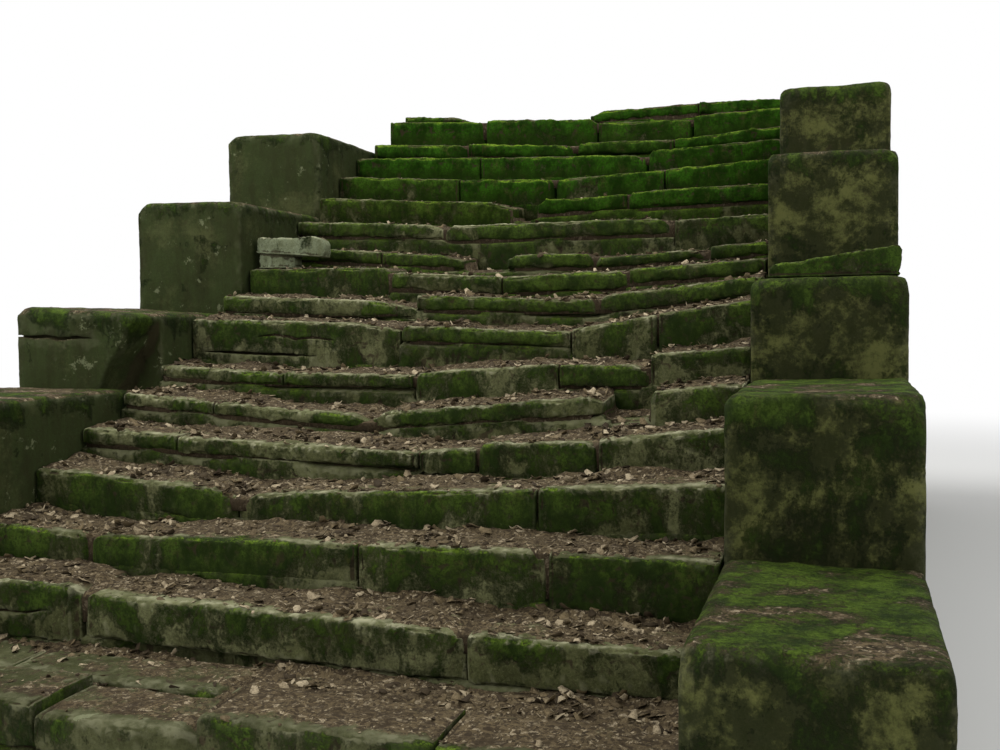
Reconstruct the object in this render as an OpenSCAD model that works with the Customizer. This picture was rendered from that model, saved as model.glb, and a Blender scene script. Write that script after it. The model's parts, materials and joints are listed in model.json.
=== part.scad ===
// Old outdoor flight of eighteen stone steps between stepped cheek blocks.
// Z is up, the flight climbs towards +Y, and the origin lies on the floor in the middle of the base.
// Every step is a row of worn, settled tread stones on a rubble course that runs back to the rear face.

/* [Flight] */
// Nominal height of one step
riser = 160; // [156:1:180]
// Depth of one tread from nosing to nosing
tread = 297; // [285:1:330]
// Clear width between the cheek blocks
clear_w = 2900; // [2700:10:3100]
// Extra depth of the bottom step in front of the regular treads
foot_depth = 300; // [260:5:380]
// Depth of the landing behind the top nosing
landing_d = 480; // [400:10:600]

/* [Tread stones] */
// Thickness of a thin tread slab
slab_t = 84; // [72:1:92]
// Thickness of the blocks in the bottom step
foot_t = 124; // [112:1:128]
// Strip of the course below that shows under a deep block
toe = 12; // [8:1:24]
// Width of an open joint between two stones
joint = 9; // [6:1:16]
// How far the stones stand out over the course below them
overhang = 9; // [6:1:16]
// Rounding of the worn nosing
nosing_r = 15; // [10:1:24]
// How far the worn front edge lies under the rest of the tread
dish = 3; // [1:0.5:5]
// How far a broken end is eaten back
bite = 30; // [15:1:40]
// Roughness of the worn front faces
rough = 8; // [2:1:12]

/* [Rubble courses] */
// Depth of an open joint in the face of a rubble course
notch_d = 26; // [10:1:40]
// Average length of a stone in the face of a rubble course
face_len = 430; // [300:10:700]

/* [Cheek blocks] */
// Width of the right cheek
cheek_r_w = 610; // [500:10:700]
// Width of the left cheek
cheek_l_w = 690; // [550:10:800]
// How far the lowest cheek blocks stand in front of the bottom step
cheek_lead = 130; // [80:10:200]
// Place of the second cheek front behind the bottom nosing, in treads
tier_first = 1.95; // [1.8:0.05:2.1]
// Distance from one cheek front to the next, in treads
tier_treads = 3.4; // [3.2:0.05:3.6]
// Rise from one cheek top to the next, in risers
tier_risers = 3.25; // [3.1:0.05:3.4]
// Height of the lowest cheek top above the floor, in risers
tier_base = 3.5; // [3.2:0.1:4]
// Wear along the top edges of the cheek blocks
cheek_wear = 22; // [8:1:34]
// Size of the flakes broken off the corners of the cheek blocks
flake = 34; // [16:1:46]
// Height of the piece broken out of the left middle cheek
spall = 400; // [250:10:460]

/* [Loose pieces] */
// Thickness of the leaning cap stone at its thick end
cap_t = 126; // [90:1:150]
// Depth of the cap stone from front to back
cap_d = 420; // [340:10:480]
// Thickness of the loose slab on the left
loose_t = 110; // [80:1:130]
// Length of the loose slab on the left
loose_l = 440; // [400:10:480]
// Height of the small stone under the loose slab
prop_t = 76; // [60:1:90]

/* [Hidden] */
half = clear_w / 2;
foot_y = -foot_depth;
front_y = foot_y - cheek_lead;
// Open gap between a tread stone and the cheek beside it, and the course behind it
side_gap = 9;
back_gap = 5;
// Length over which the corners at the ends of a stone are worn, and the spacing of its sections
corner_l = 16;
section_l = 230;
// Height of the bottom tread over its nominal level, and its lean for each hundredth
foot_z = 16;
foot_lean = 0.12;
// Fine gap that keeps the loose slab and the small stone under it apart
hair = 0.4;
S = slab_t;
deep = 0;
gone = -1;

// One row for each step from the foot up. A stone is given by its left and right ends in
// hundredths of the half width, the height of its top at each end over the nominal level,
// its thickness, and the length broken off at its left and right ends. Deep blocks reach down
// almost to the tread in front of them, and some stones are gone.
rows = [
    foot_row([-100, -58, 0, 48, 100], [0, 0, 0, 0]),
    [[-100, -53, 78, 72, deep, 0, 40], [-53, 47, 55, 20, deep, 50, 90], [47, 100, 12, 4, deep, 0, 0]],
    [[-100, -66, 66, 40, deep, 0, 50], [-66, 12, 42, 54, deep, 60, 0], [12, 60, 52, 66, deep, 0, 70],
        [60, 100, 62, 58, deep, 0, 0]],
    [[-100, -34, 84, 20, deep, 0, 120], [-34, 52, 6, 68, deep, 90, 0], [52, 100, 72, 108, deep, 0, 0]],
    [[-100, -66, 66, 42, S - 4, 0, 0], [-66, 12, 36, -4, S - 4, 0, 0], [12, 29, 0, 16, deep, 0, 0],
        [29, 63, 34, 52, deep, 30, 40], [63, 100, 62, 118, deep, 0, 0]],
    [[-100, -66, 44, 8, S - 16, 0, 0], [-66, -12, 6, -48, S - 16, 0, 80], [-12, 60, -34, 50, S, 70, 60],
        [60, 73, 26, 36, gone, 0, 0], [73, 100, 70, 108, deep, 30, 0]],
    [[-100, -52, 6, -34, S - 12, 0, 0], [-52, -6, -30, -40, S - 12, 0, 0], [-6, 42, -34, 14, deep, 30, 0],
        [42, 70, 8, 8, deep, 0, 90], [70, 100, 48, 86, deep, 0, 0]],
    [[-100, -19, 74, 40, deep, 0, 330], [-19, 41, 28, -8, S, 30, 0], [41, 69, 4, 66, deep, 0, 0],
        [69, 100, 74, 132, deep, 0, 0]],
    [[-100, -21, 42, -10, deep, 0, 260], [-21, 45, 24, -14, S, 0, 30], [45, 100, 4, 82, deep, 50, 0]],
    [[-100, -40, 42, 28, deep, 0, 40], [-40, 5, 2, -38, deep, 30, 0], [5, 52, -38, -18, deep, 0, 60],
        [52, 100, -10, 24, deep, 0, 0]],
    [[-100, -52, 24, -20, S, 0, 0], [-52, -18, -24, -58, S, 0, 120], [-18, 0, -66, -66, gone, 0, 0],
        [0, 35, -62, -72, S, 60, 40], [35, 78, -92, -60, S - 16, 30, 90],
        [78, 100, -50, -28, S - 2, 0, 0]],
    [[-100, -33, 44, -12, S + 12, 0, 90], [-33, 62, -20, -22, S + 18, 60, 130],
        [62, 100, -34, -20, deep, 0, 0]],
    [[-100, -9, 64, -28, deep, 0, 160], [-9, 1, -60, -60, gone, 0, 0], [1, 40, -20, -4, S + 12, 60, 0],
        [40, 100, 6, 22, S + 26, 30, 0]],
    [[-100, -40, 76, 16, deep, 0, 0], [-40, 4, 12, -16, deep, 0, 30], [4, 52, -14, 10, deep, 40, 0],
        [52, 100, 12, 46, deep, 0, 0]],
    [[-100, -37, 80, 38, deep, 0, 0], [-37, 41, 36, -8, deep, 0, 90], [41, 100, 16, 46, deep, 40, 0]],
    [[-100, -50, 62, 14, deep, 0, 60], [-50, 4, 28, -34, deep, 0, 60], [4, 50, -12, -34, deep, 40, 0],
        [50, 100, -28, 16, deep, 0, 0]],
    [[-100, -48, 114, 66, deep, 0, 40], [-48, 10, 80, 32, deep, 30, 60], [10, 56, 8, -12, deep, 0, 40],
        [56, 100, 8, 30, deep, 0, 0]],
    [[-100, -64, 46, 14, S - 14, 0, 90], [-64, 1, -40, -44, gone, 0, 0], [1, 56, -10, 0, deep, 110, 0],
        [56, 100, 4, -10, deep, 0, 0]]
];
// The deep bottom step leans evenly to one side and has a front and a rear row of blocks,
// given by the ends of the blocks and by how much each is thicker than the others.
function foot_row(e, more) = [
    for (i = [0:len(e) - 2])
        let (z = foot_z + more[i])
        [e[i], e[i + 1], z - foot_lean * e[i], z - foot_lean * e[i + 1], foot_t + more[i], 0, i == 1 ? 60 : 0]
];
front_row = foot_row([-100, -32, 6, 55, 100], [26, -6, 44, 38]);
steps = len(rows);
rear_y = (steps - 1) * tread + landing_d;
mid_y = (front_y + rear_y) / 2;

// For each cheek block from the foot up: the tilt of its top, and on the left how far the top
// lies under the even line now that the cap stones there are gone.
right_tips = [6, -8, 0, 4, -5];
left_tips = [-10, 8, 44, 18, 10];
left_drops = [20, 60, 200, 90, 60];
tiers = len(right_tips);
// The block with the cap stone and the one with the piece broken out
middle = 3;
cap_bed = 120;

function lerp(a, b, t) = a + (b - a) * t;
function px(v) = v / 100 * half;
function level(k) = (k + 1) * riser;

// Top of a stone, and of the row of treads on both sides of a joint, at a place across the
// flight given in hundredths of the half width.
function top_at(k, s, e) = level(k) + lerp(s[2], s[3], (e - s[0]) / (s[1] - s[0]));
function treads_at(k, e) = [for (s = rows[k]) if (e >= s[0] && e <= s[1]) top_at(k, s, e)];

// Least height from the tread in front of a stone to the top of the stone.
function room(k, s) =
    let (below = [for (p = rows[k - 1], e = [p[0], p[1]]) if (e > s[0] && e < s[1]) e])
    min([for (e = concat([s[0], s[1]], below)) top_at(k, s, e) - max(treads_at(k - 1, e))]);
function thick(k, s) = s[4] == deep ? room(k, s) - toe : s[4] == gone ? slab_t : s[4];

// Noise between -1 and 1 that stays the same for the same stone.
function noise(n, seed) = rands(-1, 1, n, seed);

// Top line of the course under a row, from left to right.
function bed_line(k) = [
    for (s = rows[k], e = [0, 1])
        [px(s[e]), level(k) + s[2 + e] - thick(k, s)]
];

// Places of the cross sections along a stone: close together at the ends and at a break.
function cuts(l, bl, br, seed) =
    let (
        a = max(corner_l, bl),
        b = max(corner_l, br),
        n = max(1, round((l - a - b) / section_l)),
        v = noise(n + 1, seed)
    )
    concat(
        bl > 0 ? [0, bl * 0.22, bl * 0.6] : [0, corner_l * 0.44],
        [for (i = [0:n]) lerp(a, l - b, i / n) + (i > 0 && i < n ? v[i] * section_l / 6 : 0)],
        br > 0 ? [l - br * 0.6, l - br * 0.22, l] : [l - corner_l * 0.44, l]
    );
// Share of corner wear and of breakage: 1 at the end of the stone and 0 past the worn length.
function wear(x, l) = max(0, 1 - x / corner_l, 1 - (l - x) / corner_l);
function broken(x, l, bl, br) = max(0, bl > 0 ? 1 - x / bl : 0, br > 0 ? 1 - (l - x) / br : 0);

// One cross section of a worn stone, as points in Y and Z over its sloping underside: t thick
// from yf back to yb, its face set back by f, its nosing rubbed to r and down by dip, and
// a break that eats away the share q.
function section(yf, yb, t, f, r, dip, q) = [
    [yb, 0],
    [yf + f + rough * 0.6 + bite * 0.67 * q, 0],
    [yf + f - rough * 0.4 + bite * 0.87 * q, t * 0.32],
    [yf + f + bite * q, t - r - bite * 0.53 * q],
    [yf + f + r * 0.28 + bite * 1.13 * q, t - r * 0.34 - dip - bite * 0.8 * q],
    [yf + f + r + bite * 1.47 * q, t - dip - bite * q],
    [lerp(yf, yb, 0.55), t - bite * 0.8 * q * q],
    [yb, t - bite * 0.47 * q * q]
];

// A worn stone: its underside is flat and follows the settled course, its top sags and its
// nosing is rubbed round, with the corners and the broken ends eaten further away.
module worn_stone(k, s, yf, yb, seed) {
    x0 = px(s[0]) + (s[0] <= -100 ? side_gap : joint / 2);
    x1 = px(s[1]) - (s[1] >= 100 ? side_gap : joint / 2);
    l = x1 - x0;
    t = thick(k, s);
    xs = cuts(l, s[5], s[6], seed);
    n = len(xs);
    a = noise(n, seed + 1);
    b = noise(n, seed + 2);
    c = noise(n, seed + 3);
    skew = noise(2, seed + 4);
    slope = (s[3] - s[2]) / (px(s[1]) - px(s[0]));
    z0 = level(k) + s[2] - t + slope * (x0 - px(s[0]));
    rings = [
        for (i = [0:n - 1])
            let (
                x = xs[i],
                w = wear(x, l),
                lean = lerp(skew[0], skew[1], x / l),
                f = rough * (1 + 0.7 * a[i] + 0.8 * lean) + nosing_r * 0.37 * w,
                r = nosing_r * (1 + 0.34 * b[i] + 0.37 * w),
                dip = dish * (1 + 0.8 * c[i] + 2 * w),
                q = broken(x, l, s[5], s[6])
            )
            [for (p = section(yf, yb, t, f, r, dip, q)) [x0 + x, p[0], z0 + slope * x + p[1]]]
    ];
    m = len(rings[0]);
    sides = [
        for (i = [0:n - 2], j = [0:m - 1])
            let (p = i * m + j, q = i * m + (j + 1) % m)
            each [[p, q, q + m], [p, q + m, p + m]]
    ];
    ends = [
        [for (j = [m - 1:-1:0]) j],
        [for (j = [0:m - 1]) (n - 1) * m + j]
    ];
    polyhedron(points = [for (ring = rings) each ring], faces = concat(ends, sides), convexity = 4);
}

// A row of tread stones in front of the course of the step above.
module stone_row(k) {
    yb = k + 1 < steps ? (k + 1) * tread + overhang - back_gap : rear_y;
    for (i = [0:len(rows[k]) - 1])
        if (rows[k][i][4] != gone)
            worn_stone(k, rows[k][i], k == 0 ? joint : k * tread, yb, 100 * k + 7 * i + 11);
    if (k == 0)
        for (i = [0:len(front_row) - 1])
            worn_stone(0, front_row[i], foot_y, 0, 60 + 5 * i);
}

// Ragged plan of a rubble course along the line y: its face has open joints and stones that
// stand in and out. The stones lie behind the line for side = 1 and before it for side = -1.
function face_points(y, side, seed) =
    let (
        n = round(clear_w / face_len),
        v = noise(n + 1, seed),
        u = noise(n + 1, seed + 50),
        w = joint * 0.42
    )
    concat(
        [[-half, y + side * rough * 0.5 * (1 + u[0])]],
        [for (i = [1:n - 1])
            let (
                x = -half + clear_w * (i + 0.3 * v[i]) / n,
                a = y + side * rough * 0.5 * (1 + u[i - 1]),
                b = y + side * rough * 0.5 * (1 + u[i]),
                deep = side * notch_d
            )
            each [
                [x - w * 2.8, a],
                [x - w, a + deep * 0.23],
                [x - w * 0.4, y + deep],
                [x + w * 0.4, y + deep],
                [x + w, b + deep * 0.23],
                [x + w * 2.8, b]
            ]],
        [[half, y + side * rough * 0.5 * (1 + u[n - 1])]]
    );
function reversed(list) = [for (i = [len(list) - 1:-1:0]) list[i]];

// One rubble course from the face under its nosing back to the rear.
module course(k) {
    low = k == 0 ? [[-half, 0], [half, 0]] : bed_line(k - 1);
    top = bed_line(k);
    y = (k == 0 ? foot_y : k * tread) + overhang;
    intersection() {
        translate([0, rear_y, 0])
            rotate([90, 0, 0])
                linear_extrude(height = rear_y - y + rough)
                    polygon(concat(reversed(low), top));
        linear_extrude(height = level(steps + 2))
            polygon(concat(
                face_points(y, 1, 31 * k + 5),
                reversed(face_points(rear_y, -1, 31 * k + 205))
            ));
    }
}

// A flat break that takes the depth d off whatever corner or edge lies at the place, with its
// face turned to the direction a round Z and b above the level.
module break_off(place, d, a, b) {
    big = flake * 12;
    translate(place)
        rotate([0, -b, a])
            translate([big / 2 - d, 0, 0])
                cube(big, center = true);
}

// A cheek block: w wide, from y0 back to y1 and from the floor to z, its top tilted by tip, its
// edges worn and its exposed corners flaked.
module cheek_block(w, y0, y1, z, tip, seed, bump = 3) {
    v = noise(14, seed);
    c = cheek_wear;
    over = z + flake * 2;
    difference() {
        intersection() {
            translate([0, y1, 0])
                rotate([90, 0, 0])
                    linear_extrude(height = y1 - y0 + 1)
                        polygon([
                            [0, 0],
                            [w, 0],
                            [w, z - c * 1.6 - tip / 2],
                            [w - c * 0.4, z - c * 0.5 - tip / 2],
                            [w - c * 1.3, z - tip / 2],
                            [w * 0.72, z + bump * v[0] - tip / 4],
                            [w * 0.38, z + bump * v[1] + tip / 8],
                            [c * 1.5, z + tip / 2],
                            [c * 0.5, z - c * 0.5 + tip / 2],
                            [0, z - c * 1.7 + tip / 2]
                        ]);
            rotate([90, 0, 90])
                linear_extrude(height = w)
                    polygon([
                        [y0, 0],
                        [y0, z - c * 1.5],
                        [y0 + c * 0.35, z - c * 0.45],
                        [y0 + c * 1.2, z + c * 0.2],
                        [y0 + c * 1.2, over],
                        [y1, over],
                        [y1, 0]
                    ]);
            linear_extrude(height = over)
                polygon([
                    [0, y1],
                    [0, y0 + c * 0.9],
                    [c * 0.4, y0 + c * 0.25],
                    [c * 1.3, y0 + 1 + v[2]],
                    [w * 0.45, y0 + 1 + 2 * v[3]],
                    [w - c * 1.4, y0 + 1 + v[4]],
                    [w - c * 0.4, y0 + c * 0.3],
                    [w, y0 + c],
                    [w, y1]
                ]);
        }
        break_off([0, y0, z + tip / 2], flake * (1.2 + 0.4 * v[5]), -135 + 16 * v[6], 38 + 12 * v[7]);
        break_off([w, y0, z - tip / 2], flake * (1.2 + 0.4 * v[8]), -45 + 16 * v[9], 38 + 12 * v[10]);
        break_off([w * (0.5 + 0.3 * v[11]), y0, z], flake * 0.55, -90 + 9 * v[12], 46 + 8 * v[13]);
    }
}

function tier_y(i) = i < 2 ? front_y : (tier_first + (i - 2) * tier_treads) * tread;
function tier_back(i) = i < tiers ? tier_y(i + 1) : rear_y;
function tier_z(i) = (tier_base + (i - 1) * tier_risers) * riser;
function cap_z() = tier_z(middle) - cap_bed;

module right_cheek(i) {
    capped = i == middle;
    translate([half, 0, 0])
        cheek_block(cheek_r_w, tier_y(i), tier_back(i), capped ? cap_z() : tier_z(i),
            right_tips[i - 1], 210 + i, capped ? 0 : 3);
}

// The left cheek has lost its cap stones, so its tops lie lower and lean outwards. A wedge
// has broken out of the inner front corner of the middle block.
module left_cheek(i) {
    z = tier_z(i) - left_drops[i - 1];
    y0 = tier_y(i);
    difference() {
        translate([-half - cheek_l_w, 0, 0])
            cheek_block(cheek_l_w, y0, tier_back(i), z, left_tips[i - 1], 310 + i);
        if (i == middle)
            translate([-half, y0 + spall * 0.6, 0])
                rotate([90, 0, 0])
                    linear_extrude(height = spall * 0.75)
                        polygon([
                            [spall * 0.1, z - spall * 0.14],
                            [-spall * 0.02, z - spall * 0.16],
                            [-spall * 0.17, z - spall * 0.42],
                            [-spall * 0.38, z - spall * 0.7],
                            [-spall * 0.52, z - spall],
                            [-spall * 0.55, z - spall * 1.15],
                            [spall * 0.1, z - spall * 1.15]
                        ]);
    }
}

// The cap stone lies tilted on the middle right block, thick towards the outside, with a
// ragged outline in plan.
module cap_stone() {
    z = cap_z();
    w = cheek_r_w;
    d = cap_d;
    y0 = tier_y(middle) + cap_d * 0.18;
    translate([half, y0, 0])
        intersection() {
            translate([0, d * 1.02, 0])
                rotate([90, 0, 0])
                    linear_extrude(height = d * 1.05)
                        polygon([
                            [w * 0.1, z],
                            [w * 0.945, z],
                            [w * 0.965, z + cap_t * 0.24],
                            [w * 0.975, z + cap_t * 0.82],
                            [w * 0.945, z + cap_t],
                            [w * 0.6, z + cap_t * 0.8],
                            [w * 0.3, z + cap_t * 0.56],
                            [w * 0.15, z + cap_t * 0.5],
                            [w * 0.105, z + cap_t * 0.34]
                        ]);
            linear_extrude(height = z + cap_t * 2)
                polygon([
                    [w * 0.07, d * 0.1],
                    [w * 0.18, d * 0.02],
                    [w * 0.38, d * 0.03],
                    [w * 0.6, 0],
                    [w * 0.88, d * 0.01],
                    [w * 0.98, d * 0.07],
                    [w, d * 0.71],
                    [w * 0.93, d * 0.93],
                    [w * 0.49, d],
                    [w * 0.2, d * 0.96],
                    [w * 0.08, d * 0.86]
                ]);
        }
}

// A stone with the outline front seen from the front and the outline plan seen from above.
module ragged_stone(front, plan, d, over) {
    intersection() {
        translate([0, d, 0])
            rotate([90, 0, 0])
                linear_extrude(height = d)
                    polygon(front);
        linear_extrude(height = over)
            polygon(plan);
    }
}

// A loose slab lies across a small stone on the left end of the tenth tread. Places on it are
// given as shares of its length, its depth, the height of the small stone and its thickness.
module loose_slab() {
    k = 9;
    d = tread * 0.7;
    xa = -half + side_gap * 2.4;
    za = treads_at(k, xa / half * 100)[0];
    zb = treads_at(k, (xa + loose_l) / half * 100)[0];
    over = za + prop_t * 2 + loose_t * 2;
    function at(t, g, h = 0) =
        [xa + loose_l * t, lerp(za, zb, t) + prop_t * lerp(1.2, 0.76, t) * g + loose_t * h];
    function plan(list) = [for (p = list) [xa + loose_l * p[0], d * p[1]]];
    translate([0, k * tread + nosing_r + overhang, 0]) {
        ragged_stone(
            [at(0.04, 0), at(0.54, 0), at(0.58, 0.55), at(0.52, 1, -hair / loose_t),
                at(0.05, 1, -hair / loose_t), at(0.02, 0.5)],
            plan([[0.03, 0.16], [0.2, 0.08], [0.4, 0.12], [0.54, 0.34], [0.6, 0.6], [0.5, 0.9], [0.04, 0.85]]),
            d, over);
        ragged_stone(
            [at(0, 1), at(0.93, 1), at(1, 1, 0.42), at(0.985, 1, 0.64), at(0.93, 1, 0.97), at(0.84, 1, 1.1),
                at(0.7, 1, 1.08), at(0.55, 1, 0.93), at(0.3, 1, 0.89), at(0.05, 1, 0.87), at(0.01, 1, 0.6)],
            plan([[0, 0.14], [0.15, 0.03], [0.56, 0], [0.85, 0.07], [1, 0.29], [0.98, 0.76], [0.77, 0.95],
                [0.31, 0.99], [0.03, 0.9]]),
            d, over);
    }
}

// Puts the middle of the base at the origin.
module seat() {
    translate([0, -mid_y, 0])
        children();
}

moss = "#4f5a2e";
stone = "#8a8467";
render_grey = "#6f6b50";

seat() color(moss) stone_row(0);  // step_01
seat() color(moss) stone_row(1);  // step_02
seat() color(moss) stone_row(2);  // step_03
seat() color(moss) stone_row(3);  // step_04
seat() color(moss) stone_row(4);  // step_05
seat() color(moss) stone_row(5);  // step_06
seat() color(moss) stone_row(6);  // step_07
seat() color(moss) stone_row(7);  // step_08
seat() color(moss) stone_row(8);  // step_09
seat() color(moss) stone_row(9);  // step_10
seat() color(moss) stone_row(10);  // step_11
seat() color(moss) stone_row(11);  // step_12
seat() color(moss) stone_row(12);  // step_13
seat() color(moss) stone_row(13);  // step_14
seat() color(moss) stone_row(14);  // step_15
seat() color(moss) stone_row(15);  // step_16
seat() color(moss) stone_row(16);  // step_17
seat() color(moss) stone_row(17);  // step_18
seat() color(stone) course(0);  // course_01
seat() color(stone) course(1);  // course_02
seat() color(stone) course(2);  // course_03
seat() color(stone) course(3);  // course_04
seat() color(stone) course(4);  // course_05
seat() color(stone) course(5);  // course_06
seat() color(stone) course(6);  // course_07
seat() color(stone) course(7);  // course_08
seat() color(stone) course(8);  // course_09
seat() color(stone) course(9);  // course_10
seat() color(stone) course(10);  // course_11
seat() color(stone) course(11);  // course_12
seat() color(stone) course(12);  // course_13
seat() color(stone) course(13);  // course_14
seat() color(stone) course(14);  // course_15
seat() color(stone) course(15);  // course_16
seat() color(stone) course(16);  // course_17
seat() color(stone) course(17);  // course_18
seat() color(render_grey) right_cheek(1);  // cheek_right_1
seat() color(render_grey) right_cheek(2);  // cheek_right_2
seat() color(render_grey) right_cheek(3);  // cheek_right_3
seat() color(render_grey) right_cheek(4);  // cheek_right_4
seat() color(render_grey) right_cheek(5);  // cheek_right_5
seat() color(render_grey) left_cheek(1);  // cheek_left_1
seat() color(render_grey) left_cheek(2);  // cheek_left_2
seat() color(render_grey) left_cheek(3);  // cheek_left_3
seat() color(render_grey) left_cheek(4);  // cheek_left_4
seat() color(render_grey) left_cheek(5);  // cheek_left_5
seat() color(render_grey) cap_stone();  // cap_stone_right
seat() color(stone) loose_slab();  // loose_slab_left
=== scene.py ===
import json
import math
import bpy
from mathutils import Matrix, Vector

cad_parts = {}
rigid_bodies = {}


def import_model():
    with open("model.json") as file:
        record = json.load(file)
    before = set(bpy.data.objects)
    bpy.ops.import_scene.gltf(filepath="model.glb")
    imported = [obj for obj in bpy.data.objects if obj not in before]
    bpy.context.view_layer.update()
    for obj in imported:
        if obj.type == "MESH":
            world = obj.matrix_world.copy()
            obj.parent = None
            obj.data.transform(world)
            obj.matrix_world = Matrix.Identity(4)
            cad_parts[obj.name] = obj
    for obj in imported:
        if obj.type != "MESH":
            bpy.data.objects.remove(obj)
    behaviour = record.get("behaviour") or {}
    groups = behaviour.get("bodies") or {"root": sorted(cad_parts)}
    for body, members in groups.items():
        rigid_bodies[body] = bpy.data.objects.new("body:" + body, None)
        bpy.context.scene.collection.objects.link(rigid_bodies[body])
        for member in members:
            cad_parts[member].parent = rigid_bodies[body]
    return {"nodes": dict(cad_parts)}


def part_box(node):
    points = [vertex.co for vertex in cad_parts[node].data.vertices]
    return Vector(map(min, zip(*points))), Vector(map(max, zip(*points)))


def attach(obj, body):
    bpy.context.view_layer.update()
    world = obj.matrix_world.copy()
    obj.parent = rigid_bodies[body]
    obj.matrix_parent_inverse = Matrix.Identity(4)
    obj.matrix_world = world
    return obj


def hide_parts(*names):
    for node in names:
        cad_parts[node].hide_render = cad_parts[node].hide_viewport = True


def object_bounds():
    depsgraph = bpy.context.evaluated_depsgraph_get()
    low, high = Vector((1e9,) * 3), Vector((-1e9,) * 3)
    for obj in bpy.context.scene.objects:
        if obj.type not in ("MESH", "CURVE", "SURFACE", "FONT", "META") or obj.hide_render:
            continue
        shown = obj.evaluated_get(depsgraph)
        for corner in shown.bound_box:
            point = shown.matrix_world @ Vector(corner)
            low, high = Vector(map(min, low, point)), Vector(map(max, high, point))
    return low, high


bl_info = {
    "name": "Weathered stone steps",
    "version": (1, 0, 0),
    "blender": (4, 5, 0),
    "location": "View3D > Sidebar > Stone steps",
    "description": "Dresses the solids of an old flight of steps as eroded, mossy stone",
    "category": "Object",
}

import bpy
import numpy as np
from bpy.props import FloatProperty, FloatVectorProperty, IntProperty, PointerProperty
from mathutils import Matrix, Vector, noise

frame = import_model()
CAD_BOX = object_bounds()
NODES = frame["nodes"]
STEPS = len([n for n in NODES if n.startswith("step_")])
TIERS = len([n for n in NODES if n.startswith("cheek_left_")])

# Cracks in the faces: for each solid, (places (x, z) along the crack, width, depth) in metres
CRACKS = {
    "step_02": [
        (((-1.46, 0.268), (-1.3, 0.276), (-1.1, 0.281), (-1.01, 0.279), (-0.9, 0.298)), 0.014, 0.06),
    ],
    "step_04": [
        (((-0.85, 0.562), (-0.8, 0.548), (-0.74, 0.541), (-0.69, 0.519)), 0.009, 0.04),
    ],
    "step_08": [
        (
            (
                *((-1.06, 1.252), (-0.97, 1.262), (-0.89, 1.252)),
                *((-0.84, 1.239), (-0.74, 1.247), (-0.62, 1.229)),
            ),
            0.014,
            0.06,
        ),
        (((-1.38, 1.178), (-1.2, 1.172), (-1.05, 1.164), (-0.9, 1.16), (-0.73, 1.152)), 0.016, 0.08),
        (((0.03, 1.216), (0.2, 1.207), (0.35, 1.203), (0.48, 1.198)), 0.01, 0.05),
    ],
    "cheek_left_3": [
        (
            (
                *((-2.16, 1.274), (-2.05, 1.264), (-1.95, 1.268)),
                *((-1.88, 1.254), (-1.78, 1.262), (-1.68, 1.256)),
            ),
            0.018,
            0.06,
        ),
    ],
}

# Share of each riser that moss covers and how fresh the moss is, from the foot up
MOSS = (
    *(0.5, 0.43, 0.66, 0.58, 0.5, 0.46, 0.52, 0.56, 0.58),
    *(0.64, 0.7, 0.62, 0.78, 0.86, 0.92, 0.88, 0.88, 0.88),
)

# Past this share moss covers nearly all of a row
VELVETY = 0.75

# Lengths in metres: the thickness past which a block reaches down to the tread in front of it,
# the width of the columns that points are sorted into, and the gap that a copied mesh closes
DEEP = 0.118
COLUMN = 0.04
MERGED = 0.0002

# Rounds of smoothing and the height that count as standing fully out, for the fine relief
FINE_RELIEF = (3, 0.004)

# The camera: its place in metres, its turn, tilt and roll in degrees, and its lens in millimetres
VIEW_PLACE = (1.826, -5.4685, 1.299)
VIEW_TURN, VIEW_TILT, VIEW_ROLL = 17.527, -2.605, -0.623
VIEW_LENS = 39.6

# The lamps: width and place of each in metres, and the height that they point at
LAMPS = {
    "key": (4.5, (-2.2, 0.5, 8.8)),
    "fill": (5.0, (-4.0, -8.5, 4.0)),
    "side": (5.0, (7.5, -3.0, 5.0)),
}
LIT_HEIGHT = 1.0

# The floor: its radius, and how far from the middle it turns into the white background
FLOOR_RADIUS = 60.0
FADE = (4.0, 12.0)


# Sizes and colours


def length(name, description, default):
    return FloatProperty(
        name=name, description=description, default=default, min=0, unit="LENGTH", precision=4
    )


def grain(name, where, default):
    return length(name, f"Distance between surface points on {where}", default)


def amount(name, description, default):
    return IntProperty(name=name, description=description, default=default, min=0)


def colour(name, description, default):
    return FloatVectorProperty(
        name=name, description=description, default=default, min=0, max=1, size=3, subtype="COLOR"
    )


def power(name, description, default):
    return FloatProperty(name=name, description=description, default=default, min=0, unit="POWER")


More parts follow.
